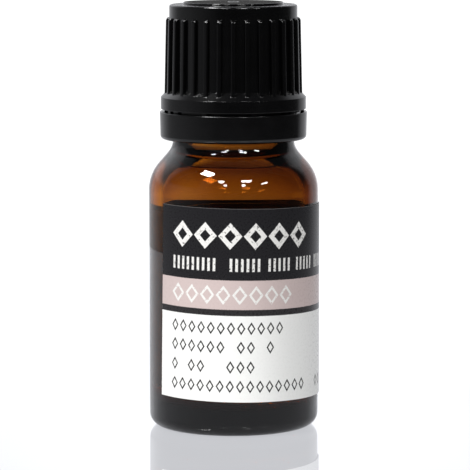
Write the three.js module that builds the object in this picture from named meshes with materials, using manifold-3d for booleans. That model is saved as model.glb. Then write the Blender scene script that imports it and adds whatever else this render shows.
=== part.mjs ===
// A 10 ml amber glass essential oil bottle: the glass with its DIN 18 neck, the oil in it, a ribbed
// tamper-evident screw cap with its ring, and a paper label wrapped round the body.
// Millimetres, +Z up. The origin is the middle of the base, on the surface that the bottle stands on.
// Angles go round the bottle from the front of the label, which faces -Y, towards +X.
import * as THREE from 'three';
import { mergeVertices } from 'three/addons/utils/BufferGeometryUtils.js';
import Module from 'manifold-3d';

// Glass, outside
const BODY_RADIUS = 12.5;
const HEEL_ROUND = 1.9;
const FOOT_WIDTH = 1.2;
const PUSH_UP = 0.7;
const PUSH_UP_SLOPE = 0.9;
const SHOULDER_START = 35.1;
const SHOULDER_ROUND = 6.2;
const SHOULDER_SLOPE = 41;
const NECK_FOOT_ROUND = 3.0;
const NECK_FOOT_RADIUS = 8.95;
const NECK_BEAD_TOP = 45.0;
const NECK_BEAD_CHAMFER = 0.95;
const BOTTLE_HEIGHT = 58;
const LIP_ROUND = 0.6;

// Glass, inside: the bore widens below the neck's bead and opens into the body
const WALL = 1.9;
const FLOOR = 3.6;
const INNER_HEEL_ROUND = 2.6;
const INNER_SHOULDER_START = 34.9;
const INNER_SHOULDER_ROUND = 4.5;
const INNER_SHOULDER_SLOPE = 50;
const NECK_WALL = 1.35;
const NECK_INNER_ROUND = 1.5;
const NECK_INNER_TOP = 41.8;
const BORE_RADIUS = 6.2;
const BORE_FOOT = 43.6;

// Oil
const OIL_LEVEL = 32.0;
const OIL_CLEARANCE = 0.2;

// Screw cap
const CAP_TOP = 62.85;
const DISC_HEIGHT = 0.5;
const DISC_RADIUS = 7.4;
const DISC_ROUND = 0.2;
const CROWN_RADIUS = 9.44;
const CROWN_FOOT = 60.65;
const CROWN_ROUND = 0.45;
const CAP_WALL_FOOT_RADIUS = 9.6;
const FLANGE_RADIUS = 10.72;
const FLANGE_TOP = 48.95;
const FLANGE_BOTTOM = 47.15;
const FLANGE_ROUND = 0.2;
const SLEEVE_RADIUS = 9.35;
const SLEEVE_BOTTOM = 46.25;
const CAP_BORE_RADIUS = 8.4;
const CAP_SEAT_GAP = 0.3;

// Grip ribs of the cap
const RIB_COUNT = 30;
const RIB_WIDTH = 0.78;
const RIB_EDGE_ROUND = 0.2;
const RIB_ROOT_RADIUS = 9.0;
const RIB_FOOT_RADIUS = 10.2;
const RIB_TOP_RADIUS = 9.96;
const RIB_BOTTOM = 49.2;
const RIB_TOP = 60.6;
const RIB_END_ROUND = 0.5;

// Tamper ring and the bridges that tie it to the cap
const RING_BOTTOM = 42.7;
const RING_TOP = 46.75;
const RING_TOP_RADIUS = 10.87;
const RING_BOTTOM_RADIUS = 10.79;
const RING_BORE_RADIUS = 9.3;
const RING_RECESS_RADIUS = 9.75;
const RING_RECESS_BOTTOM = 45.8;
const RING_TOP_ROUND = 0.25;
const RING_BOTTOM_ROUND = 0.6;
const BRIDGE_COUNT = 9;
const BRIDGE_FIRST_ANGLE = 16;
const BRIDGE_WIDTH = 0.7;
const BRIDGE_DEPTH = 0.5;
const BRIDGE_RADIUS = 10.2;
const BRIDGE_GAP = 0.1;

// Label: a sheet of paper glued on slightly out of square
const LABEL_WIDTH = 66;
const LABEL_HEIGHT = 28.25;
const LABEL_THICKNESS = 0.12;
const LABEL_RADIUS = 12.64;
const LABEL_BOTTOM = 5.33;
const LABEL_LEFT_ANGLE = -55;
const LABEL_TILT = 0.021;

// Facets
const TURN_STEPS = 60;
const LABEL_STEPS = 50;

const wasm = await Module();
wasm.setup();

const radians = THREE.MathUtils.degToRad;

function spot(radius, height) {
  return new THREE.Vector2(radius, height);
}

// Points of an arc in the (radius, height) plane, both ends included. Angle 0 points outwards.
function arc(centreRadius, centreHeight, round, fromDegrees, toDegrees, steps) {
  const points = [];
  for (let i = 0; i <= steps; i++) {
    const angle = radians(fromDegrees + (toDegrees - fromDegrees) * i / steps);
    points.push(spot(centreRadius + round * Math.cos(angle), centreHeight + round * Math.sin(angle)));
  }
  return points;
}

// A bottle shoulder from a wide wall to a narrow one: an outward arc, a straight slope that touches
// both arcs, and an inward arc that ends upright. slope is measured from the upright, in degrees.
function shoulder(wideRadius, wideRound, startHeight, narrowRadius, narrowRound, slope) {
  const lean = radians(slope);
  const upper = spot(
    wideRadius - wideRound * (1 - Math.cos(lean)),
    startHeight + wideRound * Math.sin(lean),
  );
  const lowerRadius = narrowRadius + narrowRound * (1 - Math.cos(lean));
  const lowerHeight = upper.y + (upper.x - lowerRadius) / Math.tan(lean);
  const endHeight = lowerHeight + narrowRound * Math.sin(lean);
  return [
    ...arc(wideRadius - wideRound, startHeight, wideRound, 0, slope, 5),
    ...arc(narrowRadius + narrowRound, endHeight, narrowRound, 180 + slope, 180, 3),
  ];
}

// Turns a profile about +Z. The profile runs up the outside and comes back down the inside.
function turned(profile) {
  const geometry = new THREE.LatheGeometry(profile, TURN_STEPS);
  geometry.rotateX(Math.PI / 2);
  return geometry;
}

function toSolid(geometry) {
  const bare = geometry.index ? geometry.toNonIndexed() : geometry.clone();
  bare.deleteAttribute('normal');
  bare.deleteAttribute('uv');
  const welded = mergeVertices(bare, 1e-4);
  const corners = welded.index.array;
  const kept = [];
  for (let i = 0; i < corners.length; i += 3) {
    const [a, b, c] = [corners[i], corners[i + 1], corners[i + 2]];
    if (a !== b && b !== c && c !== a) {
      kept.push(a, b, c);
    }
  }
  return new wasm.Manifold(new wasm.Mesh({
    numProp: 3,
    vertProperties: new Float32Array(welded.attributes.position.array),
    triVerts: new Uint32Array(kept),
  }));
}

function toGeometry(solid) {
  const mesh = solid.getMesh();
  const geometry = new THREE.BufferGeometry();
  geometry.setAttribute('position', new THREE.BufferAttribute(mesh.vertProperties, 3));
  geometry.setIndex(new THREE.BufferAttribute(mesh.triVerts, 1));
  geometry.computeVertexNormals();
  return geometry;
}

function glassGeometry() {
  const innerRadius = BODY_RADIUS - WALL;
  const neckInnerRadius = NECK_FOOT_RADIUS - NECK_WALL;
  const footRadius = BODY_RADIUS - HEEL_ROUND;
  const footInnerRadius = footRadius - FOOT_WIDTH;
  const threadRootRadius = NECK_FOOT_RADIUS - NECK_BEAD_CHAMFER;
  const outside = [
    spot(0, PUSH_UP),
    spot(footInnerRadius - PUSH_UP_SLOPE, PUSH_UP),
    spot(footInnerRadius, 0),
    ...arc(footRadius, HEEL_ROUND, HEEL_ROUND, -90, 0, 4),
    ...shoulder(BODY_RADIUS, SHOULDER_ROUND, SHOULDER_START, NECK_FOOT_RADIUS, NECK_FOOT_ROUND,
      SHOULDER_SLOPE),
    spot(NECK_FOOT_RADIUS, NECK_BEAD_TOP),
    spot(threadRootRadius, NECK_BEAD_TOP + NECK_BEAD_CHAMFER),
    ...arc(threadRootRadius - LIP_ROUND, BOTTLE_HEIGHT - LIP_ROUND, LIP_ROUND, 0, 90, 2),
  ];
  const inside = [
    spot(0, FLOOR),
    ...arc(innerRadius - INNER_HEEL_ROUND, FLOOR + INNER_HEEL_ROUND, INNER_HEEL_ROUND, -90, 0, 3),
    ...shoulder(innerRadius, INNER_SHOULDER_ROUND, INNER_SHOULDER_START, neckInnerRadius,
      NECK_INNER_ROUND, INNER_SHOULDER_SLOPE),
    spot(neckInnerRadius, NECK_INNER_TOP),
    spot(BORE_RADIUS, BORE_FOOT),
    spot(BORE_RADIUS, BOTTLE_HEIGHT),
  ];
  return turned([...outside, ...inside.reverse()]);
}

function oilGeometry() {
  const radius = BODY_RADIUS - WALL - OIL_CLEARANCE;
  const round = INNER_HEEL_ROUND - OIL_CLEARANCE;
  const bottom = FLOOR + OIL_CLEARANCE;
  return turned([
    spot(0, bottom),
    ...arc(radius - round, bottom + round, round, -90, 0, 3),
    spot(radius, OIL_LEVEL),
    spot(0, OIL_LEVEL),
  ]);
}

function capShellGeometry() {
  const crownTop = CAP_TOP - DISC_HEIGHT;
  const seat = BOTTLE_HEIGHT + CAP_SEAT_GAP;
  const coneRise = FLANGE_RADIUS - CAP_WALL_FOOT_RADIUS;
  return turned([
    spot(0, seat),
    spot(CAP_BORE_RADIUS, seat),
    spot(CAP_BORE_RADIUS, SLEEVE_BOTTOM),
    spot(SLEEVE_RADIUS, SLEEVE_BOTTOM),
    spot(SLEEVE_RADIUS, FLANGE_BOTTOM),
    spot(FLANGE_RADIUS, FLANGE_BOTTOM),
    ...arc(FLANGE_RADIUS - FLANGE_ROUND, FLANGE_TOP - FLANGE_ROUND, FLANGE_ROUND, 0, 45, 1),
    spot(CAP_WALL_FOOT_RADIUS, FLANGE_TOP + coneRise),
    spot(CROWN_RADIUS, CROWN_FOOT),
    ...arc(CROWN_RADIUS - CROWN_ROUND, crownTop - CROWN_ROUND, CROWN_ROUND, 0, 90, 3),
    spot(DISC_RADIUS, crownTop),
    ...arc(DISC_RADIUS - DISC_ROUND, CAP_TOP - DISC_ROUND, DISC_ROUND, 0, 90, 2),
    spot(0, CAP_TOP),
  ]);
}

// One grip rib at the front of the cap: its side outline, cut to the rib's width, with a round top end
// and eased edges.
function ribGeometry() {
  const side = new THREE.Shape();
  side.moveTo(RIB_ROOT_RADIUS, RIB_BOTTOM);
  side.lineTo(RIB_FOOT_RADIUS, RIB_BOTTOM);
  side.lineTo(RIB_TOP_RADIUS, RIB_TOP - RIB_END_ROUND);
  side.absarc(RIB_TOP_RADIUS - RIB_END_ROUND, RIB_TOP - RIB_END_ROUND, RIB_END_ROUND, 0, Math.PI / 2);
  side.lineTo(RIB_ROOT_RADIUS, RIB_TOP);
  const depth = RIB_WIDTH - 2 * RIB_EDGE_ROUND;
  const rib = new THREE.ExtrudeGeometry(side, {
    depth,
    curveSegments: 3,
    bevelSegments: 1,
    bevelThickness: RIB_EDGE_ROUND,
    bevelSize: RIB_EDGE_ROUND,
    bevelOffset: -RIB_EDGE_ROUND,
  });
  rib.translate(0, 0, -depth / 2);
  const outwards = new THREE.Vector3(0, -1, 0);
  const upwards = new THREE.Vector3(0, 0, 1);
  const sideways = new THREE.Vector3().crossVectors(outwards, upwards);
  rib.applyMatrix4(new THREE.Matrix4().makeBasis(outwards, upwards, sideways));
  return rib;
}

function capGeometry() {
  let cap = toSolid(capShellGeometry());
  for (let i = 0; i < RIB_COUNT; i++) {
    const rib = ribGeometry();
    rib.rotateZ(2 * Math.PI * i / RIB_COUNT);
    cap = cap.add(toSolid(rib));
  }
  return toGeometry(cap);
}

function ringGeometry() {
  return turned([
    spot(RING_BORE_RADIUS, RING_BOTTOM + RING_BOTTOM_ROUND / 2),
    spot(RING_BORE_RADIUS + RING_BOTTOM_ROUND / 2, RING_BOTTOM),
    ...arc(RING_BOTTOM_RADIUS - RING_BOTTOM_ROUND, RING_BOTTOM + RING_BOTTOM_ROUND, RING_BOTTOM_ROUND,
      -90, 0, 3),
    ...arc(RING_TOP_RADIUS - RING_TOP_ROUND, RING_TOP - RING_TOP_ROUND, RING_TOP_ROUND, 0, 90, 2),
    spot(RING_RECESS_RADIUS, RING_TOP),
    spot(RING_RECESS_RADIUS, RING_RECESS_BOTTOM),
    spot(RING_BORE_RADIUS, RING_RECESS_BOTTOM),
    spot(RING_BORE_RADIUS, RING_BOTTOM + RING_BOTTOM_ROUND / 2),
  ]);
}

function bridgeGeometry(angle) {
  const root = RING_TOP - BRIDGE_DEPTH;
  const top = FLANGE_BOTTOM - BRIDGE_GAP;
  const bridge = new THREE.BoxGeometry(BRIDGE_WIDTH, BRIDGE_DEPTH, top - root);
  bridge.translate(0, -BRIDGE_RADIUS, (top + root) / 2);
  bridge.rotateZ(angle);
  return bridge;
}

function tamperRingGeometry() {
  let ring = toSolid(ringGeometry());
  for (let i = 0; i < BRIDGE_COUNT; i++) {
    const angle = radians(BRIDGE_FIRST_ANGLE) + 2 * Math.PI * i / BRIDGE_COUNT;
    ring = ring.add(toSolid(bridgeGeometry(angle)));
  }
  return toGeometry(ring);
}

// The flat sheet is bent round the body. Its top and bottom edges run down a little to the right.
function labelGeometry() {
  const sheet = new THREE.BoxGeometry(LABEL_WIDTH, LABEL_THICKNESS, LABEL_HEIGHT, LABEL_STEPS, 1, 1);
  const corners = sheet.attributes.position;
  const leftEnd = radians(LABEL_LEFT_ANGLE) * LABEL_RADIUS;
  for (let i = 0; i < corners.count; i++) {
    const along = leftEnd + LABEL_WIDTH / 2 + corners.getX(i);
    const radius = LABEL_RADIUS - corners.getY(i);
    const angle = along / LABEL_RADIUS;
    const height = LABEL_BOTTOM + LABEL_HEIGHT / 2 + corners.getZ(i) - LABEL_TILT * along;
    corners.setXYZ(i, radius * Math.sin(angle), -radius * Math.cos(angle), height);
  }
  return sheet;
}

function piece(name, geometry, color, roughness, extra = {}) {
  const material = new THREE.MeshStandardMaterial({ color, roughness, metalness: 0, ...extra });
  const mesh = new THREE.Mesh(geometry, material);
  mesh.name = name;
  return mesh;
}

const bottle = new THREE.Group();
bottle.add(
  piece('glass_bottle', glassGeometry(), 0x6b3410, 0.05, { transparent: true, opacity: 0.6 }),
  piece('oil', oilGeometry(), 0xd8c89a, 0.05, { transparent: true, opacity: 0.5 }),
  piece('cap', capGeometry(), 0x141416, 0.35),
  piece('tamper_ring', tamperRingGeometry(), 0x141416, 0.35),
  piece('label', labelGeometry(), 0xf0f0ec, 0.7),
);

export default bottle;
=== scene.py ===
"""The looks of a 10 ml amber glass essential oil bottle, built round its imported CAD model.

Sizes are in millimetres and become metres where a mesh is made. +Z is up, and the origin is the middle of
the base. Angles go round the bottle from the front of the label, which faces -Y, towards +X. Those that
have a name here are in degrees, apart from the camera's.
"""
import math

import bpy
import numpy as np
from mathutils import Matrix, Vector, noise


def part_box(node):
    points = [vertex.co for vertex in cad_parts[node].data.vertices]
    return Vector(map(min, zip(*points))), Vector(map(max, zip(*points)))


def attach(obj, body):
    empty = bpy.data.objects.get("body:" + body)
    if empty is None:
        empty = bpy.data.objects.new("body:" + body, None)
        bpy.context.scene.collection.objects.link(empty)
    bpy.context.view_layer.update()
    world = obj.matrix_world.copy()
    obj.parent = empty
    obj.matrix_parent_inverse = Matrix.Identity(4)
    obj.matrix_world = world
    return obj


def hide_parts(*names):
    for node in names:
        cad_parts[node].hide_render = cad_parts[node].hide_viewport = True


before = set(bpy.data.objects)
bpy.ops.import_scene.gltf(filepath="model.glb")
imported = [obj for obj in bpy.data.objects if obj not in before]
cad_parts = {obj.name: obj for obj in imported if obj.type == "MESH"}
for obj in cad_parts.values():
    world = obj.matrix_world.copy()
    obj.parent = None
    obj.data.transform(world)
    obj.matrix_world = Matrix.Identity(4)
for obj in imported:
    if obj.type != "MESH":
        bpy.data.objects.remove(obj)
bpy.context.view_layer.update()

MM = 0.001

# Glass, outside
BODY_RADIUS = 12.5
HEEL_ROUND = 1.9
FOOT_WIDTH = 1.2
FOOT_EDGE_ROUND = 0.15
PUSH_UP = 0.7
PUSH_UP_SLOPE = 0.9
SHOULDER_START = 35.1
SHOULDER_ROUND = 6.2
SHOULDER_SLOPE = 41
NECK_FOOT_ROUND = 3.0
NECK_FOOT_RADIUS = 8.95
NECK_BEAD_TOP = 45.0
NECK_BEAD_CHAMFER = 0.95
BOTTLE_HEIGHT = 58.0
LIP_ROUND = 0.6

# Glass, inside
WALL = 1.9
FLOOR = 3.6
INNER_HEEL_ROUND = 2.6
INNER_SHOULDER_START = 34.45
INNER_SHOULDER_ROUND = 5.06
INNER_SHOULDER_SLOPE = 54
NECK_WALL = 2.05
NECK_INNER_ROUND = 0.6
NECK_FLARE = 0.8
NECK_INNER_TOP = 42.6
BORE_RADIUS = 5.5
BORE_FOOT = 43.6

# Blown glass is never quite even. Its inner wall has slow waves, which start above the floor and end under
# the neck's top. Its outer wall has the mould's two seams, opposite each other. All of them fade out.
WAVE_DEPTH = 0.05
WAVE_LENGTH = 7.0
WAVE_UPRIGHT = 0.6
WAVE_START = 2
WAVE_START_FADE = 4
WAVE_END_FADE = 2
SEAM_ANGLE = -90
SEAM_HEIGHT = 0.035
SEAM_WIDTH = 0.16
SEAM_BOTTOM = 1.5
SEAM_BOTTOM_FADE = 2
SEAM_TOP = 42.4
SEAM_TOP_FADE = 1.5

# Oil: it reaches just into the glass, so that no air shows between them, and climbs a little at the wall.
# Its surface has rings at these distances in from the wall.
OIL_REACH = 0.09
MENISCUS_HEIGHT = 1.15
MENISCUS_LENGTH = 0.8
MENISCUS_RINGS = [0, 0.15, 0.3, 0.5, 0.8, 1.2, 1.8, 2.6, 4.0, 7.0]

# Screw cap
CAP_TOP = 62.85
DISC_HEIGHT = 0.35
DISC_RADIUS = 7.4
DISC_ROUND = 0.12
CROWN_RADIUS = 9.44
CROWN_FOOT = 60.65
CROWN_ROUND = 0.3
CAP_WALL_TOP_RADIUS = CROWN_RADIUS + 0.01
CAP_WALL_FOOT_RADIUS = 9.6
FLANGE_RADIUS = 10.72
FLANGE_TOP = 48.95
FLANGE_BOTTOM = 47.15
FLANGE_ROUND = 0.07
SLEEVE_RADIUS = 9.35
SLEEVE_BOTTOM = 46.25
CAP_BORE_RADIUS = 8.4
CAP_SEAT_GAP = 0.3
CORNER_ROUND = 0.08
GATE_RADIUS = 0.7
GATE_EDGE = 0.15
GATE_HEIGHT = 0.05

# Grip ribs. The columns are distances from a rib's middle, or from its side, where the mesh is cut.
RIB_COUNT = 30
RIB_WIDTH = 0.78
RIB_EDGE_ROUND = 0.2
RIB_SIDE_STEEPNESS = 12
RIB_FOOT_RADIUS = 10.2
RIB_TOP_RADIUS = 9.96
RIB_BOTTOM = 49.2
RIB_TOP = 60.6
RIB_END_ROUND = 0.5
RIB_FILLET = 0.008
RIB_FACE_COLUMNS = [0.08, 0.19, 0.26, 0.31, 0.35]
RIB_SIDE_COLUMNS = [-0.015, 0.03, 0.1]
GROOVE_COLUMNS = [0.62, 0.82]
CLEAR_OF_FLANGE = 0.05
CLEAR_OF_BORE = 0.5

# Tamper ring and its bridges. A spread is how much wider a bridge is there than at its waist.
RING_BOTTOM = 42.7
RING_TOP = 46.75
RING_TOP_RADIUS = 10.87
RING_BOTTOM_RADIUS = 10.79
RING_BORE_RADIUS = 9.3
RING_RECESS_RADIUS = 9.75
RING_RECESS_BOTTOM = 45.8
RING_TOP_ROUND = 0.12
RING_BOTTOM_ROUND = 0.6
BRIDGE_COUNT = 9
BRIDGE_FIRST_ANGLE = 16
BRIDGE_WIDTH = 0.7
BRIDGE_DEPTH = 0.5
BRIDGE_RADIUS = 10.2
BRIDGE_ROOT = 0.3
BRIDGE_BITE = 0.02
BRIDGE_SWELL = 0.1
ROOT_SPREAD = 1.5
FOOT_SPREAD = 1.35
HEAD_SPREAD = 1.3

# Label. It goes on past the back, so angles along it are counted within LABEL_TURNS. Its tilt is a slope.
LABEL_WIDTH = 66.0
LABEL_HEIGHT = 28.25
LABEL_THICKNESS = 0.12
LABEL_RADIUS = 12.64
LABEL_BOTTOM = 5.33
LABEL_TOP = LABEL_BOTTOM + LABEL_HEIGHT
LABEL_MIDDLE = LABEL_BOTTOM + LABEL_HEIGHT / 2
LABEL_LEFT_ANGLE = -55
LABEL_TURNS = (-90, 270)
LABEL_TILT = 0.021
LABEL_RIPPLE = 0.012
LABEL_RIPPLE_LENGTH = 5.0
LABEL_RIPPLE_SEED = 3.7
LABEL_COLUMNS = 264
LABEL_ROWS = 48

# Print on the label: heights above the base at the middle of the front. A row of marks has the height of
# its middle and the place of its right end. gaps is the share of marks left out. A lozenge's stroke is
# UPRIGHT_STROKE times as long when it is measured upright.
WHITE_TOP = 17.98
LINE_TOP = 18.89
PINK_TOP = 23.16
PRINT_SOFTNESS = 0.04
PRINT_LEFT = -9.93
DARK_ROWS = [(16.15, 8.7), (13.35, 6.2), (10.45, 4.0), (7.6, 17.5)]
DARK_LOZENGE = dict(half_height=0.95, half_width=0.6, pitch=1.48, stroke=0.27, gaps=0.14)
TITLE_ROW = (29.6, 12.27)
TITLE_LOZENGE = dict(half_height=1.95, half_width=1.75, pitch=3.7, stroke=0.75, gaps=0.0)
PINK_ROW = (21.0, 9.27)
PINK_LOZENGE = dict(half_height=1.4, half_width=1.1, pitch=2.4, stroke=0.38, gaps=0.0)
BAR_ROW = (25.4, 20.0)
BAR = dict(half_height=0.95, half_width=0.19, pitch=0.82, gaps=0.14)
BAR_SOFTNESS = 0.03
UPRIGHT_STROKE = 1.4
PRINT_RAGGED = 0.12

# Bare paper: the scuff starts and ends that far under the label's top, its cut edges that far in from the
# outer face, and its back, which is grey as painted shade, that far out from the inner face
SCUFF_SPAN = (0.10, 0.05)
SCUFF_RAGGED = 0.08
CUT_SPAN = (0.02, 0.04)
BACK_SPAN = (0.02, 0.01)

# Meshes: the steps round a turned piece, and how close to a corner a long straight stretch gets a point
TURNS = 240
EASE = 0.03
LONG_STRETCH = 10 * EASE
ON_AXIS = 1e-9

# Looks: colours, the shares and greys that go with them, and how dense a colour is in depth
CLEAR = (1, 1, 1, 1)
AMBER = (0.731, 0.478, 0.0)
AMBER_DENSITY = 1340
GLASS_IOR = 1.52
SMEAR_ROUGHNESS = 0.012
PALE_OIL = (0.95, 0.85, 0.4)
PALE_OIL_DENSITY = 20
OIL_IOR = 1.5
BLACK_PLASTIC = (0.0004, 0.0004, 0.0005, 1)
DUST = 0.12
DUST_COVER = 0.2
PLASTIC_ROUGHNESS = 0.14
PLASTIC_HAZE = 0.08
DISC_POLISH = 0.8
DISC_POLISH_SPAN = (0.05, 0.15)
PAPER_WHITE = (0.86, 0.86, 0.835, 1)
INK = (0.022, 0.02, 0.021, 1)
CHARCOAL = (0.011, 0.0105, 0.012, 1)
PINK = (0.575, 0.472, 0.452, 1)
OFF_WHITE = (0.78, 0.77, 0.74, 1)
FLECK = 0.42
FLECK_COVER = 0.35
SCUFFED = 0.11
# The paper's back is darker than the paper: painted shade for the dim inside of the bottle.
PAPER_BACK_PAINTED_SHADE = (0.35, 0.35, 0.34, 1)
PAPER_ROUGHNESS = 0.22
PAPER_ROUGHER = 0.12

# Floor. Its glow is even up to a distance from the bottle, and rises from there to its rim, so a painted
# pool of shade lies round the bottle. Its glow is also lower in mirrors and through the glass: painted
# shade.
FLOOR_RADIUS = 220
FLOOR_SIDES = 96
FLOOR_GREY = 0.06
FLOOR_LIGHT = (0.97, 0.985, 1.04, 1)
FLOOR_GLOW = 0.51
FLOOR_GLOW_RISE = 0.11
FLOOR_SHADE_POOL_RADIUS = 60.0
FLOOR_IN_MIRRORS = 0.95
FLOOR_THROUGH_GLASS = 0.54

# Studio. A list of brightness by direction has pairs of an angle and a grey. A span is two angles between
# which something starts or ends.
BACKDROP = 1.15
ROOM = [(-180, 1.05), (-158, 0.60), (-146, 0.62), (-130, 0.42), (-118, 0.27), (-85, 0.27), (-56, 0.17),
        (-25, 0.03), (0, 0.015), (90, 0.03), (122, 0.05), (132, 0.44), (140, 0.56), (150, 0.60), (162, 0.82),
        (180, 1.05)]
ROOM_TINT = (0.98, 0.99, 1.03, 1)
CEILING = 0.06
CEILING_SPAN = (35, 65)
PANELS = [((-158, -108), (7, 41), 1.75), ((-103, -50), (16, 60), 0.3), ((158, 172), (5, 12), 0.75),
          ((175, 190), (4, 14), 1.4), ((-190, -175), (4, 14), 1.4)]
PANEL_SOFT_TURN = 4
PANEL_SOFT_RISE = 3
DARK_STRIP = 0.08
DARK_STRIP_SPAN = (178.0, 178.6)
DARK_STRIP_HEIGHTS = (1.2, 5.6)
DARK_STRIP_SOFT = 0.6
WALL_BEHIND = [(-180, 0.74), (-178, 0.82), (-176, 1.15), (-173, 1.4), (-168, 1.6), (-160, 1.75), (-138, 2.0),
               (-120, 1.15), (120, 1.15), (140, 1.1), (160, 0.72), (176, 0.68), (180, 0.74)]
WALL_HEIGHTS = [(-90, 0.4), (-12, 0.4), (-8, 0.62), (-3, 0.92), (0, 1.0), (3, 0.95), (8, 0.70), (14, 0.60),
                (90, 0.45)]
WALL_TINT = (1.0, 1.25, 1.1, 1)
ROOM_THROUGH_GLASS = [(-180, 1.1), (-163, 2.8), (-134, 2.8), (-118, 0.5), (-85, 0.2), (0, 0.05), (90, 0.05),
                      (122, 0.2), (130, 0.65), (165, 0.65), (180, 0.8)]
ROOM_HEIGHTS = [(-90, 0.3), (-14, 0.4), (-8, 0.75), (-3, 1.0), (5, 1.0), (11, 0.75), (17, 0.05), (90, 0.05)]
INSIDE_TINT = (0.95, 1.5, 1.1, 1)
BEHIND_SPAN = (110, 140)
LEFT_START_SPAN = (-179, -172)
LEFT_END_SPAN = (-100, -120)

# Lamps: azimuth, elevation, width, height and roll in degrees, and radiance. They face the aim.
LAMP_DISTANCE = 1200
LAMP_AIM = 40
LAMPS = {
    "key_left": (-54, 55, 16, 11.5, -15, 66),
    "top_left": (-19, 38, 8, 5, -25, 38),
    "top_right": (21, 39, 12, 6, 0, 38),
    "low_left": (-12, 28, 5, 3.5, 0, 38),
    "low_right": (15, 28, 6, 3.5, 0, 38),
    "side_right": (47, 30, 10, 3.5, 20, 35),
}

# Camera, as fitted to the photo. Its pitch and roll are in radians.
CAMERA_LENS = 242.97
CAMERA_SENSOR = 36.0
CAMERA_PLACE = (0.2142, -467.32, 83.90)
CAMERA_PITCH = 0.1184
CAMERA_ROLL = -0.0011


# ---- outlines in the (radius, height) plane ----

def arc(centre_radius, centre_height, round_, from_degrees, to_degrees, steps):
    """Points of an arc, both ends included. Angle 0 points outwards."""
    angles = np.radians(np.linspace(from_degrees, to_degrees, steps + 1))
    return [(centre_radius + round_ * math.cos(a), centre_height + round_ * math.sin(a)) for a in angles]


def straight(start, end, steps):
    """Points after start and up to end."""
    return [tuple(np.array(start) + (np.array(end) - np.array(start)) * i / steps)
            for i in range(1, steps + 1)]


def eased(outline):
    """Adds a point close to each end of every long straight stretch, so that the smooth shading of a rounded
    corner doesn't run along the flat beside it."""
    points = [outline[0]]
    for start, end in zip(outline, outline[1:]):
        length = math.dist(start, end)
        if length > LONG_STRETCH:
            for share in (EASE / length, 1 - EASE / length):
                points.append(tuple(a + (b - a) * share for a, b in zip(start, end)))
        points.append(end)
    return points


def shoulder(wide_radius, wide_round, start_height, narrow_radius, narrow_round, slope):
    """An outward arc, a straight slope that touches both arcs, and an inward arc that ends upright."""
    lean = math.radians(slope)
    upper_radius = wide_radius - wide_round * (1 - math.cos(lean))
    upper_height = start_height + wide_round * math.sin(lean)
    lower_radius = narrow_radius + narrow_round * (1 - math.cos(lean))
    lower_height = upper_height + (upper_radius - lower_radius) / math.tan(lean)
    end_height = lower_height + narrow_round * math.sin(lean)
    return (arc(wide_radius - wide_round, start_height, wide_round, 0, slope, steps=18)
            + arc(narrow_radius + narrow_round, end_height, narrow_round, 180 + slope, 180, steps=14))


def glass_outside():
    """From the hollow of the base, over the foot and the heel, and up to the mouth."""
    foot = BODY_RADIUS - HEEL_ROUND
    foot_inner = foot - FOOT_WIDTH
    thread_root = NECK_FOOT_RADIUS - NECK_BEAD_CHAMFER
    heel = arc(foot, HEEL_ROUND, HEEL_ROUND, -90, 0, steps=14)
    body = straight(heel[-1], (BODY_RADIUS, SHOULDER_START), steps=12)[:-1]
    return ([(0, PUSH_UP), (foot_inner - PUSH_UP_SLOPE, PUSH_UP)]
            + arc(foot_inner, FOOT_EDGE_ROUND, FOOT_EDGE_ROUND, -150, -90, steps=4)
            + heel + body
            + shoulder(BODY_RADIUS, SHOULDER_ROUND, SHOULDER_START, NECK_FOOT_RADIUS, NECK_FOOT_ROUND,
                       SHOULDER_SLOPE)
            + [(NECK_FOOT_RADIUS, NECK_BEAD_TOP), (thread_root, NECK_BEAD_TOP + NECK_BEAD_CHAMFER)]
            + arc(thread_root - LIP_ROUND, BOTTLE_HEIGHT - LIP_ROUND, LIP_ROUND, 0, 90, steps=6))


def glass_inside():
    """From the middle of the floor and up the inner wall to the mouth."""
    inner = BODY_RADIUS - WALL
    neck_inner = NECK_FOOT_RADIUS - NECK_WALL
    heel = arc(inner - INNER_HEEL_ROUND, FLOOR + INNER_HEEL_ROUND, INNER_HEEL_ROUND, -90, 0, steps=12)
    body = straight(heel[-1], (inner, INNER_SHOULDER_START), steps=16)[:-1]
    return ([(0, FLOOR)] + heel + body
            + shoulder(inner, INNER_SHOULDER_ROUND, INNER_SHOULDER_START, neck_inner, NECK_INNER_ROUND,
                       INNER_SHOULDER_SLOPE)
            + [(neck_inner + NECK_FLARE, NECK_INNER_TOP), (BORE_RADIUS, BORE_FOOT),
               (BORE_RADIUS, BOTTLE_HEIGHT)])


def oil_outline(level):
    """The oil's outline, up the outside and in over its surface, with its meniscus."""
    radius = BODY_RADIUS - WALL + OIL_REACH
    bottom = FLOOR - OIL_REACH
    round_ = INNER_HEEL_ROUND + OIL_REACH
    surface = []
    for r in radius - np.array(MENISCUS_RINGS):
        climb = MENISCUS_HEIGHT * math.exp(-(radius - r) / MENISCUS_LENGTH)
        surface.append((r, level + climb))
    return ([(0, bottom)] + arc(radius - round_, bottom + round_, round_, -90, 0, steps=12)
            + surface + [(0, level)])


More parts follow.
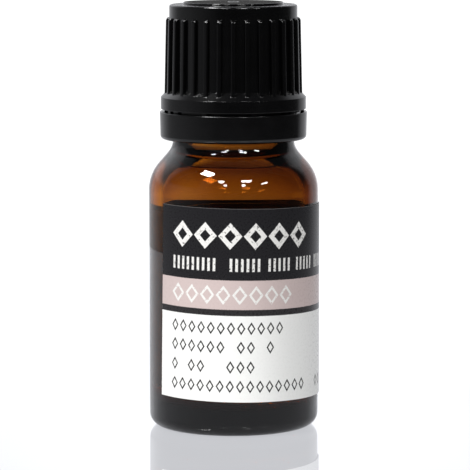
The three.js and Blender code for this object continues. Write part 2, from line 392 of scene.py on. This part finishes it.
def cap_outline():
    """The cap without its ribs, from the seat over the mouth, down the bore and up the outside."""
    crown_top = CAP_TOP - DISC_HEIGHT
    seat = BOTTLE_HEIGHT + CAP_SEAT_GAP
    cone_rise = FLANGE_RADIUS - CAP_WALL_FOOT_RADIUS
    c = CORNER_ROUND
    rim = arc(FLANGE_RADIUS - FLANGE_ROUND, FLANGE_TOP - FLANGE_ROUND, FLANGE_ROUND, 0, 45, steps=6)
    cone = straight(rim[-1], (CAP_WALL_FOOT_RADIUS, FLANGE_TOP + cone_rise), steps=26)
    wall = straight(cone[-1], (CAP_WALL_TOP_RADIUS, RIB_TOP - RIB_END_ROUND), steps=6)
    rib_ends = straight(wall[-1], (CROWN_RADIUS, CROWN_FOOT), steps=16)
    return ([(0, seat), (CAP_BORE_RADIUS, seat), (CAP_BORE_RADIUS, SLEEVE_BOTTOM)]
            + arc(SLEEVE_RADIUS - c, SLEEVE_BOTTOM + c, c, -90, 0, steps=6)
            + [(SLEEVE_RADIUS, FLANGE_BOTTOM)]
            + arc(FLANGE_RADIUS - c, FLANGE_BOTTOM + c, c, -90, 0, steps=6)
            + rim + cone + wall + rib_ends
            + arc(CROWN_RADIUS - CROWN_ROUND, crown_top - CROWN_ROUND, CROWN_ROUND, 0, 90, steps=8)
            + [(DISC_RADIUS + c, crown_top)]
            + arc(DISC_RADIUS + c, crown_top + c, c, -90, -180, steps=3)
            + arc(DISC_RADIUS - DISC_ROUND, CAP_TOP - DISC_ROUND, DISC_ROUND, 0, 90, steps=6)
            + [(GATE_RADIUS + GATE_EDGE, CAP_TOP), (GATE_RADIUS, CAP_TOP - GATE_HEIGHT),
               (0, CAP_TOP - GATE_HEIGHT)])


def ring_outline():
    """The tamper ring, all round its section, with the recess that the cap's sleeve stands in."""
    inner_corner = RING_BOTTOM_ROUND / 2
    start = (RING_BORE_RADIUS, RING_BOTTOM + inner_corner)
    inner = arc(RING_BORE_RADIUS + inner_corner, RING_BOTTOM + inner_corner, inner_corner,
                -135, -90, steps=3)
    bottom = arc(RING_BOTTOM_RADIUS - RING_BOTTOM_ROUND, RING_BOTTOM + RING_BOTTOM_ROUND,
                 RING_BOTTOM_ROUND, -90, 0, steps=10)
    top = arc(RING_TOP_RADIUS - RING_TOP_ROUND, RING_TOP - RING_TOP_ROUND, RING_TOP_ROUND, 0, 90, steps=7)
    return ([start] + inner + bottom + top
            + [(RING_RECESS_RADIUS, RING_TOP), (RING_RECESS_RADIUS, RING_RECESS_BOTTOM),
               (RING_BORE_RADIUS, RING_RECESS_BOTTOM), start])


# ---- meshes ----

def even_angles(count):
    """Angles in radians, once round."""
    return np.linspace(0, 2 * math.pi, count, endpoint=False)


def turned(outline, angles, reshape=None):
    """Vertices and faces of a surface turned about +Z. An outline either runs from axis to axis or ends
    where it starts. reshape(radius, height, angle) may change the radius, all three being arrays."""
    outline = np.array(outline, float)
    closed = np.allclose(outline[0], outline[-1])
    if closed:
        outline = outline[:-1]
    count, turns = len(outline), len(angles)
    radius = np.repeat(outline[:, 0:1], turns, axis=1)
    height = np.repeat(outline[:, 1:2], turns, axis=1)
    angle = np.repeat(np.array(angles)[None, :], count, axis=0)
    on_axis = outline[:, 0] < ON_AXIS
    if reshape:
        radius = np.where(on_axis[:, None], 0, reshape(radius, height, angle))
    spots = np.stack([radius * np.sin(angle), -radius * np.cos(angle), height], axis=-1)
    vertices, index = [], np.zeros((count, turns), int)
    for i in range(count):
        if on_axis[i]:
            index[i, :] = len(vertices)
            vertices.append(spots[i, 0])
        else:
            index[i, :] = np.arange(len(vertices), len(vertices) + turns)
            vertices.extend(spots[i])
    return vertices, turned_faces(index, closed)


def turned_faces(index, closed):
    """Faces between the rows of an array of vertex numbers, one row to each point of the outline. Beside
    the axis, where all numbers of a row are the same, they are triangles."""
    count, turns = index.shape
    faces = []
    for i in range(count if closed else count - 1):
        low, high = index[i], index[(i + 1) % count]
        for j in range(turns):
            k = (j + 1) % turns
            corners = [low[j], low[k], high[k], high[j]]
            faces.append(list(dict.fromkeys(int(c) for c in corners)))
    return faces


def piece(name, vertices, faces, material, node, slot, sharp_degrees):
    """A smooth closed piece that stands for a CAD node. Edges of a larger angle are sharp."""
    mesh = bpy.data.meshes.new(name)
    mesh.from_pydata([tuple(np.array(v) * MM) for v in vertices], [], faces)
    mesh.validate()
    mesh.shade_smooth()
    mesh.set_sharp_from_angle(angle=math.radians(sharp_degrees))
    mesh.materials.append(material)
    obj = bpy.data.objects.new(name, mesh)
    bpy.context.scene.collection.objects.link(obj)
    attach(obj, "root")
    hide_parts(node)


def wave(radius, height, angle):
    """Slow waves over a round wall, from -1 to 1."""
    result = np.zeros_like(radius)
    for spot in np.ndindex(radius.shape):
        r, z, a = radius[spot], height[spot], angle[spot]
        place = Vector((r * math.sin(a), -r * math.cos(a), z * WAVE_UPRIGHT)) / WAVE_LENGTH
        result[spot] = noise.noise(place)
    return result


def mould_seams(radius, height, angle):
    """How far the two seams stand out of the wall."""
    first = math.radians(SEAM_ANGLE)
    turn = np.angle(np.exp(1j * (angle - first)))
    seams = SEAM_HEIGHT * np.exp(-(turn * radius / SEAM_WIDTH) ** 2)
    turn_back = np.angle(np.exp(1j * (angle - first - math.pi)))
    seams += SEAM_HEIGHT * np.exp(-(turn_back * radius / SEAM_WIDTH) ** 2)
    seams *= (np.clip((height - SEAM_BOTTOM) / SEAM_BOTTOM_FADE, 0, 1)
              * np.clip((SEAM_TOP - height) / SEAM_TOP_FADE, 0, 1))
    return seams


def glass_reshape(outside_count):
    """Adds the mould's seams outside and the waves inside. outside_count rows of the mesh are outside."""
    def reshape(radius, height, angle):
        fade = (np.clip((height - FLOOR - WAVE_START) / WAVE_START_FADE, 0, 1)
                * np.clip((NECK_INNER_TOP - height) / WAVE_END_FADE, 0, 1))
        inside = np.arange(radius.shape[0])[:, None] >= outside_count
        return radius + np.where(inside, WAVE_DEPTH * fade * wave(radius, height, angle),
                                 mould_seams(radius, height, angle))
    return reshape


def glass_mesh():
    """One closed surface, which turns from the outside to the inside at the mouth."""
    outside, inside = eased(glass_outside()), eased(glass_inside())
    return turned(outside + inside[::-1], even_angles(TURNS), glass_reshape(len(outside)))


def rib_angles():
    """Angles of the cap's columns: close together at the edges of each rib."""
    half = RIB_WIDTH / 2
    side = RIB_FACE_COLUMNS + [half + s for s in RIB_SIDE_COLUMNS] + GROOVE_COLUMNS
    offsets = sorted([-s for s in side] + side)
    pitch = 2 * math.pi / RIB_COUNT
    return [pitch * i + s / RIB_FOOT_RADIUS for i in range(RIB_COUNT) for s in offsets]


def rib_reshape(radius, height, angle):
    """Raises the grip ribs out of the cap's wall, with eased edges, a round top end and a small fillet."""
    pitch = 2 * math.pi / RIB_COUNT
    aside = np.abs((angle + pitch / 2) % pitch - pitch / 2) * RIB_FOOT_RADIUS
    flat = RIB_WIDTH / 2 - RIB_EDGE_ROUND
    over = np.clip(aside - flat, 0, RIB_EDGE_ROUND)
    lowered = RIB_EDGE_ROUND - np.sqrt(RIB_EDGE_ROUND ** 2 - over ** 2)
    lowered += np.clip(aside - RIB_WIDTH / 2, 0, None) * RIB_SIDE_STEEPNESS
    end = np.clip(height - (RIB_TOP - RIB_END_ROUND), 0, RIB_END_ROUND)
    lowered += RIB_END_ROUND - np.sqrt(RIB_END_ROUND ** 2 - end ** 2)
    rise = (height - RIB_BOTTOM) / (RIB_TOP - RIB_END_ROUND - RIB_BOTTOM)
    crest = RIB_FOOT_RADIUS + (RIB_TOP_RADIUS - RIB_FOOT_RADIUS) * np.clip(rise, 0, 1) - lowered
    ribbed = 0.5 * (radius + crest + np.sqrt((radius - crest) ** 2 + RIB_FILLET ** 2))
    on_wall = ((height > FLANGE_TOP + CLEAR_OF_FLANGE) & (height < RIB_TOP)
               & (radius > CAP_BORE_RADIUS + CLEAR_OF_BORE))
    return np.where(on_wall, ribbed, radius)


def bridge_mesh(angle):
    """One bridge: a small post, wider at its foot on the ring and at its head under the flange."""
    low, high = RING_TOP - BRIDGE_ROOT, FLANGE_BOTTOM + BRIDGE_BITE
    levels = [(low, ROOT_SPREAD), (RING_TOP, FOOT_SPREAD), (RING_TOP + BRIDGE_SWELL, 1.0),
              (high - BRIDGE_SWELL, 1.0), (high, HEAD_SPREAD)]
    vertices, faces = [], []
    for z, spread in levels:
        for x, y in ((-1, -1), (1, -1), (1, 1), (-1, 1)):
            spot = Vector((x * BRIDGE_WIDTH / 2 * spread, y * BRIDGE_DEPTH / 2 - BRIDGE_RADIUS, z))
            vertices.append(Matrix.Rotation(angle, 3, "Z") @ spot)
    for i in range(len(levels) - 1):
        for j in range(4):
            k = (j + 1) % 4
            faces.append([4 * i + j, 4 * i + k, 4 * i + 4 + k, 4 * i + 4 + j])
    top = 4 * (len(levels) - 1)
    faces.append([3, 2, 1, 0])
    faces.append([top, top + 1, top + 2, top + 3])
    return vertices, faces


def ring_mesh():
    """The ring with its bridges."""
    vertices, faces = turned(eased(ring_outline()), even_angles(TURNS))
    for i in range(BRIDGE_COUNT):
        angle = math.radians(BRIDGE_FIRST_ANGLE) + 2 * math.pi * i / BRIDGE_COUNT
        more, sides = bridge_mesh(angle)
        start = len(vertices)
        vertices.extend(more)
        faces.extend([[start + c for c in side] for side in sides])
    return vertices, faces


def label_points():
    """Points of the label's outer face, which ripples a little, and then of its back, column by column."""
    left = math.radians(LABEL_LEFT_ANGLE) * LABEL_RADIUS
    points = []
    for out in (1, -1):
        for i in range(LABEL_COLUMNS + 1):
            level_along = left + LABEL_WIDTH * i / LABEL_COLUMNS
            for j in range(LABEL_ROWS + 1):
                up = LABEL_HEIGHT * (j / LABEL_ROWS - 0.5)
                along = level_along + LABEL_TILT * up
                angle = along / LABEL_RADIUS
                height = LABEL_MIDDLE + up - LABEL_TILT * level_along
                radius = LABEL_RADIUS + out * LABEL_THICKNESS / 2
                if out == 1:
                    place = Vector((along / LABEL_RIPPLE_LENGTH, height / LABEL_RIPPLE_LENGTH,
                                    LABEL_RIPPLE_SEED))
                    radius += LABEL_RIPPLE * noise.noise(place)
                points.append((radius * math.sin(angle), -radius * math.cos(angle), height))
    return points


def label_mesh():
    """A thin sheet bent round the body: its outer face, its back, and the cut edges between them."""
    columns, rows = LABEL_COLUMNS, LABEL_ROWS
    side = (columns + 1) * (rows + 1)

    def spot(out, i, j):
        """The number of a point, on the outer face where out is 1 and on the back where it is 0."""
        return (0 if out else side) + i * (rows + 1) + j

    faces = []
    for i in range(columns):
        for j in range(rows):
            faces.append([spot(1, i, j), spot(1, i + 1, j), spot(1, i + 1, j + 1), spot(1, i, j + 1)])
            faces.append([spot(0, i, j), spot(0, i, j + 1), spot(0, i + 1, j + 1), spot(0, i + 1, j)])
        faces.append([spot(1, i, 0), spot(0, i, 0), spot(0, i + 1, 0), spot(1, i + 1, 0)])
        faces.append([spot(1, i, rows), spot(1, i + 1, rows), spot(0, i + 1, rows), spot(0, i, rows)])
    for j in range(rows):
        faces.append([spot(1, 0, j), spot(1, 0, j + 1), spot(0, 0, j + 1), spot(0, 0, j)])
        faces.append([spot(1, columns, j), spot(0, columns, j), spot(0, columns, j + 1),
                      spot(1, columns, j + 1)])
    return label_points(), faces


# ---- materials ----

def grey(brightness):
    return (brightness, brightness, brightness, 1)


class Graph:
    """Builds the nodes of one material or of the world. A value may be a number or another node's output."""

    def __init__(self, owner):
        owner.use_nodes = True
        self.tree = owner.node_tree
        self.shader = self.tree.nodes.get("Principled BSDF") or self.tree.nodes["Background"]

    def feed(self, socket, value):
        if isinstance(value, bpy.types.NodeSocket):
            self.tree.links.new(value, socket)
        else:
            socket.default_value = value

    def set(self, **inputs):
        """Feeds the shader's own sockets."""
        for key, value in inputs.items():
            self.feed(self.shader.inputs[key.replace("_", " ")], value)

    def node(self, kind, settings=None, **inputs):
        made = self.tree.nodes.new(kind)
        for key, value in (settings or {}).items():
            setattr(made, key, value)
        for key, value in inputs.items():
            self.feed(made.inputs[key.replace("_", " ")], value)
        return made

    def math(self, operation, *values):
        made = self.tree.nodes.new("ShaderNodeMath")
        made.operation = operation
        for socket, value in zip(made.inputs, values):
            self.feed(socket, value)
        return made.outputs[0]

    def step(self, value, low, high):
        """0 below low, 1 above high, smooth between. low may be above high, for a falling step."""
        made = self.node("ShaderNodeMapRange", {"interpolation_type": "SMOOTHSTEP"},
                         Value=value, From_Min=low, From_Max=high)
        return made.outputs["Result"]

    def band(self, value, low, high, soft):
        """1 between low and high."""
        return self.math("MULTIPLY", self.step(value, low - soft, low + soft),
                         self.step(value, high + soft, high - soft))

    def angle_step(self, angle, span):
        """A step over a span in degrees. The angle is in radians."""
        return self.step(angle, math.radians(span[0]), math.radians(span[1]))

    def angle_band(self, angle, span, soft):
        """1 within a span in degrees. The angle is in radians."""
        return self.band(angle, math.radians(span[0]), math.radians(span[1]), math.radians(soft))

    def mix(self, factor, first, second):
        made = self.node("ShaderNodeMix", {"data_type": "RGBA"})
        in_factor, in_first, in_second = made.inputs["Factor"], made.inputs[6], made.inputs[7]
        self.feed(in_factor, factor)
        self.feed(in_first, first)
        self.feed(in_second, second)
        return made.outputs[2]

    def times(self, first, second):
        """One colour multiplied by another."""
        made = self.node("ShaderNodeMix", {"data_type": "RGBA", "blend_type": "MULTIPLY"}, Factor=1.0)
        self.feed(made.inputs[6], first)
        self.feed(made.inputs[7], second)
        return made.outputs[2]

    def noise(self, vector, scale, detail=2.0, roughness=0.5):
        """From 0 to 1. The scale is in cells to the millimetre, where the vector is a place()."""
        made = self.node("ShaderNodeTexNoise", Vector=vector, Scale=scale, Detail=detail,
                         Roughness=roughness)
        return made.outputs["Fac"]

    def bump(self, height, distance, strength):
        """The distance is in metres."""
        made = self.node("ShaderNodeBump", Height=height, Distance=distance, Strength=strength)
        self.feed(self.shader.inputs["Normal"], made.outputs["Normal"])

    def place(self):
        """The point's place in millimetres, in the bottle's frame."""
        spot = self.node("ShaderNodeTexCoord").outputs["Object"]
        made = self.node("ShaderNodeVectorMath", {"operation": "SCALE"}, Vector=spot, Scale=1 / MM)
        return made.outputs[0]

    def parts(self, vector):
        """The x, y and z of a vector."""
        return self.node("ShaderNodeSeparateXYZ", Vector=vector).outputs

    def turn(self, x, y):
        """The angle round the bottle in radians, 0 at the front and up to half a turn either way."""
        return self.math("ARCTAN2", x, self.math("MULTIPLY", y, -1))

    def from_axis(self, x, y):
        """The distance from the bottle's axis."""
        return self.math("SQRT", self.math("ADD", self.math("POWER", x, 2), self.math("POWER", y, 2)))

    def greys(self, angle, limit, stops):
        """A grey that changes evenly between stops, each an angle in degrees and its brightness. The angle
        that is looked up is in radians, and goes from minus the limit in degrees to the limit."""
        places = self.math("MULTIPLY_ADD", angle, 1 / math.radians(2 * limit), 0.5)
        made = self.node("ShaderNodeValToRGB", Fac=places)
        ramp = made.color_ramp
        while len(ramp.elements) < len(stops):
            ramp.elements.new(0.5)
        for element, (degrees, brightness) in zip(ramp.elements, stops):
            element.position = (degrees + limit) / (2 * limit)
            element.color = grey(brightness)
        return made.outputs["Color"]


def new_material(name):
    material = bpy.data.materials.new(name)
    return material, Graph(material)


def absorbing(graph, color, density):
    """Light is lost with depth: constants on the shader's own sockets."""
    volume = graph.node("ShaderNodeVolumeAbsorption", Color=(*color, 1), Density=density)
    graph.tree.links.new(volume.outputs[0], graph.tree.nodes["Material Output"].inputs["Volume"])


def amber_glass():
    """Clear glass that takes light in its depth, with slow unevenness and a few faint smears."""
    material, g = new_material("amber_glass")
    g.set(Base_Color=CLEAR, IOR=GLASS_IOR, Transmission_Weight=1.0)
    spot = g.place()
    smear = g.step(g.noise(spot, scale=0.25, detail=3.0), low=0.5, high=0.75)
    g.set(Roughness=g.math("MULTIPLY", smear, SMEAR_ROUGHNESS))
    g.bump(g.noise(spot, scale=0.16, detail=1.0), distance=0.000006, strength=0.6)
    absorbing(g, AMBER, AMBER_DENSITY)
    return material


def clear_oil():
    """Clear oil, which takes a little light in its depth and is faintly yellow."""
    material, g = new_material("clear_oil")
    g.set(Base_Color=CLEAR, IOR=OIL_IOR, Transmission_Weight=1.0, Roughness=0.0)
    absorbing(g, PALE_OIL, PALE_OIL_DENSITY)
    return material


def black_plastic(name, seed):
    """Smooth moulded plastic with a faint orange peel, a slow haze in its gloss and a few specks of dust.
    The disc on the cap's top is polished."""
    material, g = new_material(name)
    spot = g.node("ShaderNodeVectorMath", {"operation": "ADD"}, Vector=g.place())
    spot.inputs[1].default_value = (seed, seed, seed)
    spot = spot.outputs[0]
    dust = g.step(g.noise(spot, scale=9.0), low=0.76, high=0.80)
    g.set(Base_Color=g.mix(g.math("MULTIPLY", dust, DUST_COVER), BLACK_PLASTIC, grey(DUST)))
    haze = g.noise(spot, scale=0.4, detail=4.0)
    disc_foot = CAP_TOP - DISC_HEIGHT
    on_disc = g.step(g.parts(g.place())[2], disc_foot + DISC_POLISH_SPAN[0], disc_foot + DISC_POLISH_SPAN[1])
    satin = g.math("MULTIPLY_ADD", haze, PLASTIC_HAZE, PLASTIC_ROUGHNESS)
    polish = g.math("MULTIPLY_ADD", on_disc, -DISC_POLISH, 1)
    g.set(Roughness=g.math("MULTIPLY", satin, polish), IOR=1.5)
    g.bump(g.noise(spot, scale=4.0), distance=0.0000015, strength=0.5)
    return material


def label_paper():
    """Printed paper with a grain, flecks, worn print, a scuffed top edge, and a back greyed with painted
    shade.
    """
    material, g = new_material("label_paper")
    x, y, z = g.parts(g.place())
    lowest, highest = LABEL_TURNS
    turn = g.math("WRAP", g.turn(x, y), math.radians(highest), math.radians(lowest))
    arc_along = g.math("MULTIPLY", turn, LABEL_RADIUS)
    height = g.math("MULTIPLY_ADD", arc_along, LABEL_TILT, z)
    along = g.math("MULTIPLY_ADD", g.math("SUBTRACT", height, LABEL_MIDDLE), -LABEL_TILT, arc_along)
    flat = g.node("ShaderNodeCombineXYZ", X=along, Y=height).outputs[0]

    grain = g.noise(flat, scale=2.6, detail=4.0, roughness=0.65)
    speck = g.noise(flat, scale=7.0)
    ragged_height = g.math("ADD", height, g.math("MULTIPLY_ADD", speck, PRINT_RAGGED, -PRINT_RAGGED / 2))
    color = printed_fields(g, ragged_height)
    color = printed_marks(g, color, along, ragged_height, grain)
    flecks = g.step(g.noise(flat, scale=4.2, detail=3.0, roughness=0.7), low=0.70, high=0.76)
    color = g.mix(g.math("MULTIPLY", flecks, FLECK_COVER), color, grey(FLECK))
    color = bare_paper(g, color, g.from_axis(x, y),
                       g.math("MULTIPLY_ADD", speck, -SCUFF_RAGGED, ragged_height))
    g.set(Base_Color=color, Roughness=g.math("MULTIPLY_ADD", grain, PAPER_ROUGHER, PAPER_ROUGHNESS),
          IOR=1.33)
    g.bump(g.noise(flat, scale=5.0, detail=4.0, roughness=0.6), distance=0.000005, strength=0.5)
    return material


def printed_fields(g, height):
    """The label's fields of colour from the bottom up: white, a thin dark line, pink and charcoal."""
    color = PAPER_WHITE
    for edge, field in ((WHITE_TOP, INK), (LINE_TOP, PINK), (PINK_TOP, CHARCOAL)):
        color = g.mix(g.step(height, edge - PRINT_SOFTNESS, edge + PRINT_SOFTNESS), color, field)
    return color


def printed_marks(g, color, along, height, grain):
    """Rows of plain marks in place of the lines of print: dark ones on the white field, and pale ones on the
    pink and the charcoal. The paper's grain shows where the print is worn off."""
    dark = 0.0
    for row in DARK_ROWS:
        dark = g.math("MAXIMUM", dark, lozenges(g, along, height, *row, **DARK_LOZENGE))
    color = g.mix(g.math("MULTIPLY", dark, g.step(grain, low=0.30, high=0.38)), color, INK)
    pale = g.math("MAXIMUM", lozenges(g, along, height, *TITLE_ROW, **TITLE_LOZENGE),
                  lozenges(g, along, height, *PINK_ROW, **PINK_LOZENGE))
    pale = g.math("MAXIMUM", pale, bars(g, along, height, *BAR_ROW, **BAR))
    return g.mix(g.math("MULTIPLY", pale, g.step(grain, low=0.34, high=0.44)), color, OFF_WHITE)


def bare_paper(g, color, outward, height):
    """Adds the scuffed top edge, the cut edges, and the back of the paper, which is grey as painted shade.
    """
    inner_face, outer_face = LABEL_RADIUS - LABEL_THICKNESS / 2, LABEL_RADIUS + LABEL_THICKNESS / 2
    cut_edge = g.step(outward, outer_face - CUT_SPAN[0], outer_face - CUT_SPAN[1])
    top_edge = g.step(height, LABEL_TOP - SCUFF_SPAN[0], LABEL_TOP - SCUFF_SPAN[1])
    color = g.mix(g.math("MAXIMUM", top_edge, cut_edge), color, grey(SCUFFED))
    # Painted shade: the back of the paper is made grey.
    back = g.step(outward, inner_face + BACK_SPAN[0], inner_face + BACK_SPAN[1])
    return g.mix(back, color, PAPER_BACK_PAINTED_SHADE)


def cells(g, along, pitch, end, gaps, seed):
    """Cells of one row of marks from the print's left margin to end. Gives how far a point is from its
    cell's middle, and 1 or 0 for whether the cell has a mark. gaps is the share of cells left out."""
    count = round((end - PRINT_LEFT) / pitch)
    place = g.math("MULTIPLY_ADD", along, 1 / pitch, -PRINT_LEFT / pitch)
    aside = g.math("MULTIPLY", g.math("ABSOLUTE", g.math("SUBTRACT", g.math("FRACT", place), 0.5)), pitch)
    number = g.math("FLOOR", place)
    chance = g.node("ShaderNodeTexWhiteNoise", {"noise_dimensions": "1D"}, W=g.math("ADD", number, seed))
    marked = g.math("MULTIPLY", g.math("GREATER_THAN", chance.outputs["Value"], gaps),
                    g.math("COMPARE", number, (count - 1) / 2, count / 2))
    return aside, marked


def lozenges(g, along, height, middle, end, half_height, half_width, pitch, stroke, gaps):
    """A row of lozenges drawn in outline."""
    aside, marked = cells(g, along, pitch, end, gaps, seed=middle)
    up = g.math("ABSOLUTE", g.math("SUBTRACT", height, middle))
    reach = g.math("MULTIPLY_ADD", aside, half_height / half_width, up)
    outline = g.band(reach, half_height - stroke * UPRIGHT_STROKE, half_height, PRINT_SOFTNESS)
    return g.math("MULTIPLY", outline, marked)


def bars(g, along, height, middle, end, half_height, half_width, pitch, gaps):
    """A row of short upright bars."""
    aside, marked = cells(g, along, pitch, end, gaps, seed=middle)
    bar = g.math("MULTIPLY", g.step(aside, half_width + BAR_SOFTNESS, half_width - BAR_SOFTNESS),
                 g.band(height, middle - half_height, middle + half_height, PRINT_SOFTNESS))
    return g.math("MULTIPLY", bar, marked)


# ---- stage ----

def floor_acrylic():
    """Glossy acrylic that is lit softly from below. Painted shade: its glow is lower near the bottle, and it
    is dimmer in mirrors and through the glass.
    """
    material, g = new_material("floor_acrylic")
    x, y, _ = g.parts(g.place())
    # Painted shade: a pool of lower glow round the bottle, rising towards the rim.
    rise = g.step(g.from_axis(x, y), FLOOR_SHADE_POOL_RADIUS, FLOOR_RADIUS)
    glow = g.math("MULTIPLY_ADD", rise, FLOOR_GLOW_RISE, FLOOR_GLOW)
    path = g.node("ShaderNodeLightPath")
    # Painted shade: the glow is lower where a mirror or the glass shows the floor.
    for bends, share in (("Glossy Depth", FLOOR_IN_MIRRORS), ("Transmission Depth", FLOOR_THROUGH_GLASS)):
        bent = g.math("GREATER_THAN", path.outputs[bends], 0.5)
        glow = g.math("MULTIPLY", glow, g.math("MULTIPLY_ADD", bent, share - 1, 1))
    g.set(Base_Color=grey(FLOOR_GREY), Roughness=0.02, IOR=1.4,
          Emission_Color=FLOOR_LIGHT, Emission_Strength=glow)
    return material


def make_floor():
    """A round sheet."""
    mesh = bpy.data.meshes.new("floor")
    rim = [(FLOOR_RADIUS * MM * math.cos(a), FLOOR_RADIUS * MM * math.sin(a), 0)
           for a in even_angles(FLOOR_SIDES)]
    mesh.from_pydata(rim, [], [list(range(len(rim)))])
    mesh.materials.append(floor_acrylic())
    floor = bpy.data.objects.new("floor", mesh)
    bpy.context.scene.collection.objects.link(floor)


def mirrored_room(g, turn, rise):
    """The dim room that outer faces mirror. It has a dark ceiling, panels that are lighter or darker than
    what stands round them, and a thin dark strip on both sides of the middle behind the bottle."""
    ceiling = g.angle_step(rise, CEILING_SPAN)
    room = g.times(g.mix(ceiling, g.greys(turn, 180, ROOM), grey(CEILING)), ROOM_TINT)
    for turns, heights, share in PANELS:
        panel = g.math("MULTIPLY", g.angle_band(turn, turns, PANEL_SOFT_TURN),
                       g.angle_band(rise, heights, PANEL_SOFT_RISE))
        room = g.mix(panel, room, g.times(room, grey(share)))
    strip = g.math("MULTIPLY", g.angle_step(g.math("ABSOLUTE", turn), DARK_STRIP_SPAN),
                   g.angle_band(rise, DARK_STRIP_HEIGHTS, DARK_STRIP_SOFT))
    return g.mix(strip, room, grey(DARK_STRIP))


def behind_glass(g, turn, rise, sides, heights, tint):
    """What the glass shows: a brightness all round, which behind the bottle also changes with the height,
    and has a tint to the left of the middle."""
    behind = g.angle_step(g.math("ABSOLUTE", turn), BEHIND_SPAN)
    left = g.math("MULTIPLY", g.angle_step(turn, LEFT_START_SPAN), g.angle_step(turn, LEFT_END_SPAN))
    shown = g.times(g.greys(turn, 180, sides), g.mix(behind, CLEAR, g.greys(rise, 90, heights)))
    return g.times(shown, g.mix(left, CLEAR, tint))


def make_world():
    """A pale studio that depends on how a ray reached it. The camera sees a plain white backdrop. Rays
    straight through the glass see a white wall behind the bottle, and those that were also mirrored inside
    it see the room in another brightness. All other mirrored light comes from a dim room."""
    world = bpy.data.worlds.new("studio")
    bpy.context.scene.world = world
    g = Graph(world)
    x, y, z = g.parts(g.node("ShaderNodeTexCoord").outputs["Generated"])
    turn = g.turn(x, y)
    rise = g.math("ARCSINE", z)
    room = mirrored_room(g, turn, rise)
    wall = behind_glass(g, turn, rise, WALL_BEHIND, WALL_HEIGHTS, WALL_TINT)
    seen_inside = behind_glass(g, turn, rise, ROOM_THROUGH_GLASS, ROOM_HEIGHTS, INSIDE_TINT)

    path = g.node("ShaderNodeLightPath")
    through = g.math("GREATER_THAN", path.outputs["Transmission Depth"], 0.5)
    mirrored = g.math("GREATER_THAN", g.math("ADD", path.outputs["Glossy Depth"],
                                             path.outputs["Diffuse Depth"]), 0.5)
    straight_on = g.mix(through, grey(BACKDROP), wall)
    turned_back = g.mix(through, room, seen_inside)
    g.set(Color=g.mix(mirrored, straight_on, turned_back))


def make_lamp(name, azimuth, elevation, wide, tall, roll, radiance):
    """A rectangular soft lamp. Its width and height are the angles that it fills, seen from the aim."""
    a, e = math.radians(azimuth), math.radians(elevation)
    towards = Vector((math.sin(a) * math.cos(e), -math.cos(a) * math.cos(e), math.sin(e)))
    distance = LAMP_DISTANCE * MM
    light = bpy.data.lights.new(name, "AREA")
    light.shape = "RECTANGLE"
    light.size = 2 * distance * math.tan(math.radians(wide) / 2)
    light.size_y = 2 * distance * math.tan(math.radians(tall) / 2)
    light.energy = radiance * math.pi * light.size * light.size_y
    obj = bpy.data.objects.new(name, light)
    bpy.context.scene.collection.objects.link(obj)
    obj.location = Vector((0, 0, LAMP_AIM * MM)) + towards * distance
    turn = towards.to_track_quat("Z", "Y").to_matrix().to_4x4()
    obj.rotation_euler = (turn @ Matrix.Rotation(math.radians(roll), 4, "Z")).to_euler()


def make_lamps():
    for name, values in LAMPS.items():
        make_lamp(name, *values)


def make_camera():
    camera = bpy.data.cameras.new("camera")
    camera.lens = CAMERA_LENS
    camera.sensor_width = CAMERA_SENSOR
    obj = bpy.data.objects.new("camera", camera)
    bpy.context.scene.collection.objects.link(obj)
    obj.location = Vector(CAMERA_PLACE) * MM
    turn = Matrix.Rotation(math.pi / 2 - CAMERA_PITCH, 4, "X") @ Matrix.Rotation(CAMERA_ROLL, 4, "Z")
    obj.rotation_euler = turn.to_euler()
    bpy.context.scene.camera = obj


# ---- the bottle ----

def make_bottle():
    """Every piece, with the node that it stands for and the angle from which an edge is sharp."""
    oil_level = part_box("oil")[1][2] / MM
    piece("bottle_glass", *glass_mesh(), amber_glass(), "glass_bottle", "amber_glass", 60)
    piece("oil_fill", *turned(oil_outline(oil_level), even_angles(TURNS)), clear_oil(), "oil", "oil", 60)
    piece("screw_cap", *turned(eased(cap_outline()), rib_angles(), rib_reshape),
          black_plastic("cap_plastic", seed=0.0), "cap", "cap_plastic", 40)
    piece("tamper_band", *ring_mesh(),
          black_plastic("ring_plastic", seed=9.0), "tamper_ring", "ring_plastic", 45)
    piece("paper_label", *label_mesh(), label_paper(), "label", "label_paper", 60)


make_camera()
make_floor()
make_world()
make_lamps()
make_bottle()

scene = bpy.context.scene
scene.view_settings.view_transform = "Standard"
scene.view_settings.look = "None"
